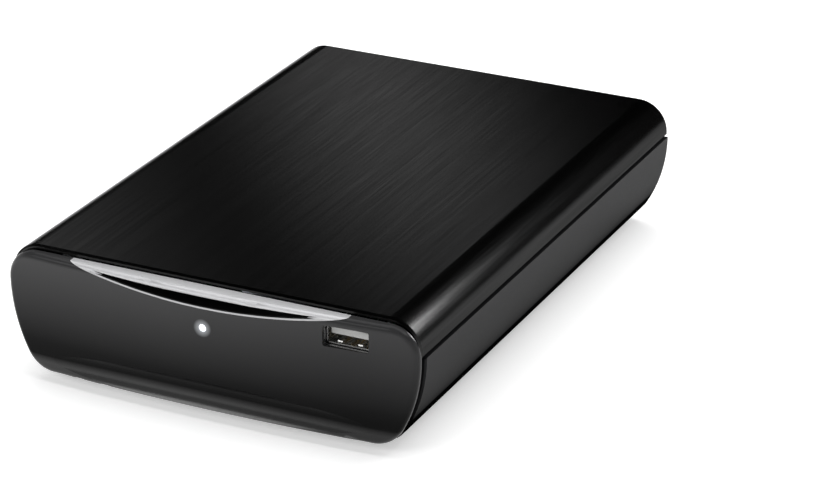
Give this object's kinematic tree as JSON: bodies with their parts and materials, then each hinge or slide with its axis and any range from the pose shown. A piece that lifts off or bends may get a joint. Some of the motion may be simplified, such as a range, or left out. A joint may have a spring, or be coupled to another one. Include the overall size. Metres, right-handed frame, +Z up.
{
  "type": "media player with hard drive tray",
  "caption": "Low black media player: round-shouldered two-shell case whose glossy front, with a silver crescent finger slot, pulls out as the hard drive tray.",
  "frame": {"origin": "on the table, under the middle of the outer box", "axes": "+X to the right seen from the front, -Y out of the front (the way the drawer slides out), +Z up"},
  "size_m": [0.13, 0.1914, 0.0412],
  "materials": {
    "cover_aluminium": "black anodised, brushed front to back",
    "case_plastic": "fine matt dark grey moulding",
    "bezel_plastic": "dark grey, satin gloss",
    "silver_trim": "silver painted moulding",
    "smoked_window": "smoked, near black",
    "clear_plastic": "clear light pipe",
    "socket_steel": "nickel plated steel",
    "black_plastic": "black moulded plastic",
    "white_plastic": "pale moulded plastic",
    "circuit_board": "green solder mask",
    "zinc_steel": "zinc plated sheet steel",
    "drive_casting": "dark coated casting",
    "drive_lid_metal": "bare pressed aluminium",
    "screw_steel": "zinc plated screw",
    "foot_rubber": "black rubber",
    "ribbon_plastic": "white flat cable",
    "chip_resin": "black moulded resin",
    "sink_aluminium": "bare extruded aluminium",
    "jack_plastic": "black with coloured collars",
    "jack_metal": "nickel plated"
  },
  "bodies": {
    "case": {"top_cover": "cover_aluminium", "lower_case": "case_plastic", "rear_panel": "case_plastic", "rubber_feet": "foot_rubber", "left_rail": "black_plastic", "right_rail": "black_plastic", "rail_screws": "screw_steel", "main_board": "circuit_board", "board_screws": "screw_steel", "processor": "chip_resin", "heat_sink": "sink_aluminium", "memory_chips": "chip_resin", "board_capacitors": "sink_aluminium", "dock_board": "circuit_board", "dock_socket": "black_plastic", "tray_socket": "black_plastic", "av_jack_block": "jack_plastic", "digital_jack_block": "jack_plastic", "jack_sleeves": "jack_metal", "hdmi_shell": "socket_steel", "hdmi_tongue": "black_plastic", "device_socket_shell": "socket_steel", "device_socket_tongue": "white_plastic", "power_jack": "black_plastic", "power_jack_pin": "jack_metal", "power_switch_body": "black_plastic", "panel_screws": "screw_steel"},
    "drive_drawer": {"front_bezel": "bezel_plastic", "crescent_trim": "silver_trim", "receiver_window": "smoked_window", "infrared_receiver": "chip_resin", "led_light_pipe": "clear_plastic", "status_led": "white_plastic", "front_board": "circuit_board", "front_board_screws": "screw_steel", "front_usb_shell": "socket_steel", "front_usb_tongue": "white_plastic", "bezel_screws": "screw_steel", "drive_tray": "zinc_steel", "front_cable": "ribbon_plastic", "tray_plug": "black_plastic", "hard_drive_base": "drive_casting", "hard_drive_lid": "drive_lid_metal", "hard_drive_board": "circuit_board", "drive_plug": "black_plastic", "drive_screws": "screw_steel"},
    "power_rocker_body": {"power_rocker": "black_plastic"}
  },
  "joints": [
    {"name": "drawer_slide", "type": "slide", "parent": "case", "child": "drive_drawer", "axis": [0, -1, 0], "range_m": [0, 0.13]},
    {"name": "power_rocker_pivot", "type": "hinge", "parent": "case", "child": "power_rocker_body", "pos_m": [0.05, 0.0874, 0.0215], "axis": [-1, 0, 0], "range_deg": [0, 16]}
  ]
}
